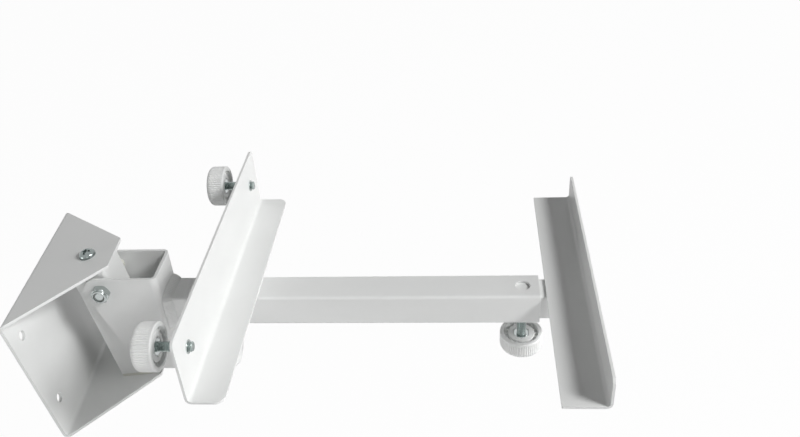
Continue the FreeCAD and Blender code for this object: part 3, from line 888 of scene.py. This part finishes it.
def bead_points(path, outwards, forwards, rise, reach):
    """A fillet's section carried along a path.

    At each point of the path the section spans two directions: rise * cos(a) ** BEAD_POWER
    outwards and reach * sin(a) ** BEAD_POWER forwards, for a from 0 to 90 degrees, closed
    through a corner sunk a little into the metal. Both swell by RIPPLE_SHARE with each ripple.
    """
    steps = np.linalg.norm(np.diff(path, axis=0), axis=1)
    run = np.concatenate([[0], np.cumsum(steps)])
    swell = 1 + RIPPLE_SHARE * np.cos(2 * np.pi * run / RIPPLE)
    a = np.linspace(0, math.pi / 2, BEAD_STEPS)
    u = np.concatenate([rise * np.cos(a) ** BEAD_POWER, [-SUNK, -SUNK, rise]])
    v = np.concatenate([reach * np.sin(a) ** BEAD_POWER, [reach, -SUNK, -SUNK]])
    section = u[None, :, None] * outwards[:, None, :] + v[None, :, None] * forwards[:, None, :]
    return path[:, None, :] + section * swell[:, None, None]


def add_bead(name, path, outwards, forwards, legs, body, closed):
    """Makes a painted bead along a path. legs are its rise and its reach."""
    grid = bead_points(path, outwards, forwards, *legs)
    if closed:
        grid = np.concatenate([grid, grid[:1]])
    bead = surface(name, grid, caps=not closed, smooth_angle=60)
    bead.data.materials.append(POWDER_COAT)
    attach(bead, body)


print("a ripple for each", RIPPLE / MM, "mm of weld")

# %% [markdown]
# The weld round the tube
#
# The seam where the tube meets the channel is a square with round corners. It could be built
# from lines and arcs, but one formula gives the whole loop and its outward direction: a circle
# whose sine and cosine are raised to a high power.

# %% Weld round the tube
CHANNEL_LEGS = (4.5 * MM, 7.5 * MM)
SEAM_INSET = 0.2 * MM
SEAM_COLUMNS = 480
SQUARENESS = 12


def arm_reach(node, axis):
    """Lowest and highest place of a solid along an axis of the arm, from the tilt bolt."""
    along = (node_points(node) - TILT_AT) @ axis
    return along.min(), along.max()


def tube_section(tube):
    """Middle of a square tube above the tilt bolt, and half its side."""
    low, high = arm_reach(tube, ARM_UP)
    return (high + low) / 2, (high - low) / 2


def square_loop(half, count):
    """A square with round corners as (across, up) and the outward direction at each point.

    With n for SQUARENESS, the radius at a turn is (|cos| ** n + |sin| ** n) ** (-1 / n) times
    the half side, and the outward direction is (|cos| ** (n - 1), |sin| ** (n - 1)), with the
    signs of the cosine and the sine, at a length of 1.
    """
    turn = full_turn(count)
    c, s = np.cos(turn), np.sin(turn)
    reach = (np.abs(c) ** SQUARENESS + np.abs(s) ** SQUARENESS) ** (-1 / SQUARENESS)
    power = SQUARENESS - 1
    out = np.stack([np.abs(c) ** power * np.sign(c), np.abs(s) ** power * np.sign(s)], axis=1)
    return half * reach * c, half * reach * s, out / np.linalg.norm(out, axis=1)[:, None]


TUBE_MID, TUBE_HALF = tube_section("outer_tube")
tube_start = arm_reach("outer_tube", ARM_OUT)[0]
across, up, out = square_loop(TUBE_HALF - SEAM_INSET, SEAM_COLUMNS)
path = TILT_AT + tube_start * ARM_OUT + across[:, None] * ARM_SIDE + (TUBE_MID + up)[:, None] * ARM_UP
away = out[:, :1] * ARM_SIDE + out[:, 1:] * ARM_UP
add_bead("channel_weld", path, away, np.broadcast_to(ARM_OUT, away.shape), CHANNEL_LEGS, "arm", True)
print("channel weld", round(8 * TUBE_HALF / MM), "mm long")

# %% [markdown]
# The welds under the clamp plates
#
# The clamp plates lie on top of their tubes, so their beads run along the tube's upper edges,
# under the foot of the plate. They are the same section on a straight path, which stops a few
# millimetres short of the foot's ends.

# %% Welds under the clamp plates
PLATE_LEGS = (3.0 * MM, 3.0 * MM)
REAR_INSET = 3.0 * MM
FRONT_INSET = 4.0 * MM
PLATE_SEAM_POINTS = 90


def plate_welds(plate, tube, inset, body):
    """Two short beads where a plate's foot lies on its tube, one each side."""
    middle, half = tube_section(tube)
    start, end = arm_reach(plate, ARM_OUT)
    run = np.linspace(start + inset, end - inset, PLATE_SEAM_POINTS)
    edge = TILT_AT + run[:, None] * ARM_OUT + (middle + half) * ARM_UP
    for name, side in (("near", -ARM_SIDE), ("far", ARM_SIDE)):
        path = edge + (half - SEAM_INSET) * side
        outwards = np.broadcast_to(side, path.shape)
        downwards = np.broadcast_to(-ARM_UP, path.shape)
        add_bead(plate + "_weld_" + name, path, outwards, downwards, PLATE_LEGS, body, False)
    print(plate, "weld", round((end - start - 2 * inset) / MM, 1), "mm long on each side")


plate_welds("rear_clamp_plate", "outer_tube", REAR_INSET, "arm")
plate_welds("front_clamp_plate", "inner_tube", FRONT_INSET, "extension")

# %% [markdown]
# Floor
#
# The photograph shows the bracket on pure white. The floor is a plain white sheet well below
# the bracket, so its shadow falls wide and faint. More lamp light would whiten the floor but
# bleach the bracket too, so the sheet glows a little instead, and only towards the camera and
# in reflections.

# %% Floor
FLOOR_DROP = 0.55
FLOOR_HALF = 12.0
FLOOR_GLOW = 0.97


def looked_at(tree):
    """1 on rays from the camera, off a shine or through glass, and 0 on all others."""
    path = add(tree, "ShaderNodeLightPath")
    seen = add(tree, "ShaderNodeMath", {0: path.outputs["Is Camera Ray"], 1: path.outputs["Is Glossy Ray"]},
               operation="MAXIMUM")
    seen = add(tree, "ShaderNodeMath", {0: seen.outputs[0], 1: path.outputs["Is Transmission Ray"]},
               operation="MAXIMUM")
    return seen.outputs[0]


def floor_paint():
    """Matt white, lifted towards pure white where the camera sees it or a shine reflects it."""
    material, tree = new_material("white sheet")
    sheet = add(tree, "ShaderNodeBsdfDiffuse", {"Color": linear("F2F2F2")})
    glow = add(tree, "ShaderNodeEmission", {"Color": linear("FFFFFF"), "Strength": 1.0})
    share = add(tree, "ShaderNodeMath", {0: looked_at(tree), 1: FLOOR_GLOW}, operation="MULTIPLY")
    mix = add(tree, "ShaderNodeMixShader", {
        0: share.outputs[0], 1: sheet.outputs["BSDF"], 2: glow.outputs["Emission"]})
    add(tree, "ShaderNodeOutputMaterial", {"Surface": mix.outputs["Shader"]})
    return material


floor_z = CAD_BOX[0][2] - FLOOR_DROP
corners = [(x * FLOOR_HALF, y * FLOOR_HALF, floor_z) for x, y in ((-1, -1), (1, -1), (1, 1), (-1, 1))]
floor_mesh = bpy.data.meshes.new("floor")
floor_mesh.from_pydata(corners, [], [(0, 1, 2, 3)])
floor_mesh.materials.append(floor_paint())
floor = bpy.data.objects.new("floor", floor_mesh)
bpy.context.scene.collection.objects.link(floor)
print("floor", round(-floor_z, 2), "m below the middle of the wall plate")

# %% [markdown]
# World
#
# The room round the bracket works the same way: plain white where the camera or a reflection
# sees it, and a weak grey where it lights the bracket, so that no side is left in the dark.

# %% World
FILL = 0.13


def white_room():
    """White where it is looked at or reflected, and a weak even fill for everything else."""
    world = bpy.data.worlds.new("white room")
    world.use_nodes = True
    tree = world.node_tree
    tree.nodes.clear()
    level = add(tree, "ShaderNodeMapRange", {"Value": looked_at(tree), "To Min": FILL, "To Max": 1.0})
    sky = add(tree, "ShaderNodeBackground", {"Color": linear("FFFFFF"), "Strength": level.outputs["Result"]})
    add(tree, "ShaderNodeOutputWorld", {"Surface": sky.outputs["Background"]})
    return world


bpy.context.scene.world = white_room()
print("fill light", FILL)

# %% [markdown]
# Lamps
#
# The main light comes from the right, a little from the camera's side and 33 degrees up. Two
# shadows give that away: the front plate's own edge on its foot, and the slanting one on the
# side of the tube. A broad low lamp beside it brightens the faces that look away from the
# wall. Two weaker ones, from the camera's side and from the wall's side, open the shadows.
# Their strengths were found by rendering each lamp alone and matching the sum to the
# photograph's greys.

# %% Lamps
LAMP_DISTANCE = 3.0
# each lamp's direction from the bracket, its width in metres and its power in watts
LAMPS = {
    "key": ((0.76, -0.36, 0.55), 0.8, 60.0),
    "low_side": ((0.97, -0.15, 0.18), 1.5, 27.0),
    "camera_side": ((0.10, -1.00, 0.08), 1.5, 5.0),
    "wall_side": ((-0.85, -0.50, 0.12), 1.5, 20.0),
}


def soft_light(name, direction, width, power):
    """A round area lamp in that direction, facing the middle of the bracket."""
    middle = (np.array(CAD_BOX[0]) + np.array(CAD_BOX[1])) / 2
    data = bpy.data.lights.new(name, "AREA")
    data.shape = "DISK"
    data.size = width
    data.energy = power
    lamp = bpy.data.objects.new(name, data)
    bpy.context.scene.collection.objects.link(lamp)
    w = unit(direction)
    u = unit(np.cross((0, 0, 1), w))
    v = np.cross(w, u)
    place = Matrix(np.stack([u, v, w], axis=1).tolist()).to_4x4()
    place.translation = (middle + w * LAMP_DISTANCE).tolist()
    lamp.matrix_world = place


for name, (direction, width, power) in LAMPS.items():
    soft_light(name, direction, width, power)
print(len(LAMPS), "soft lamps", LAMP_DISTANCE, "m away")

# %% [markdown]
# Camera
#
# The camera stands above and in front of the near side, turned a little towards the wall, and
# rolled, because the photograph was taken askew. Its place was found by fitting the corners
# of the model to the same corners in the photograph, which is 800 pixels wide.

# %% Camera
PHOTO_WIDTH = 800
FOCAL_PIXELS = 826.63
SENSOR = 36.0
CLIP_START = 0.01
CAMERA_AT = (0.386111, -0.576252, 0.428149)
AZIMUTH, ELEVATION, ROLL = (math.radians(a) for a in (6.480, 33.386, -13.211))


def camera_axes(azimuth, elevation, roll):
    """Right, up and backwards of a camera. Azimuth 0 looks along +Y."""
    back = np.array([math.sin(azimuth) * math.cos(elevation),
                     -math.cos(azimuth) * math.cos(elevation), math.sin(elevation)])
    right = unit(np.cross(-back, (0, 0, 1)))
    up = np.cross(right, -back)
    turned = math.cos(roll) * right + math.sin(roll) * up
    return turned, math.cos(roll) * up - math.sin(roll) * right, back


def make_camera():
    """A camera whose lens gives the photograph's focal length in pixels at its width."""
    data = bpy.data.cameras.new("camera")
    data.sensor_width = SENSOR
    data.lens = FOCAL_PIXELS * SENSOR / PHOTO_WIDTH
    data.clip_start = CLIP_START
    camera = bpy.data.objects.new("camera", data)
    bpy.context.scene.collection.objects.link(camera)
    place = Matrix(np.stack(camera_axes(AZIMUTH, ELEVATION, ROLL), axis=1).tolist()).to_4x4()
    place.translation = CAMERA_AT
    camera.matrix_world = place
    return camera


bpy.context.scene.camera = make_camera()
bpy.context.scene.view_settings.view_transform = "Standard"
print("lens", round(bpy.context.scene.camera.data.lens, 1), "mm")
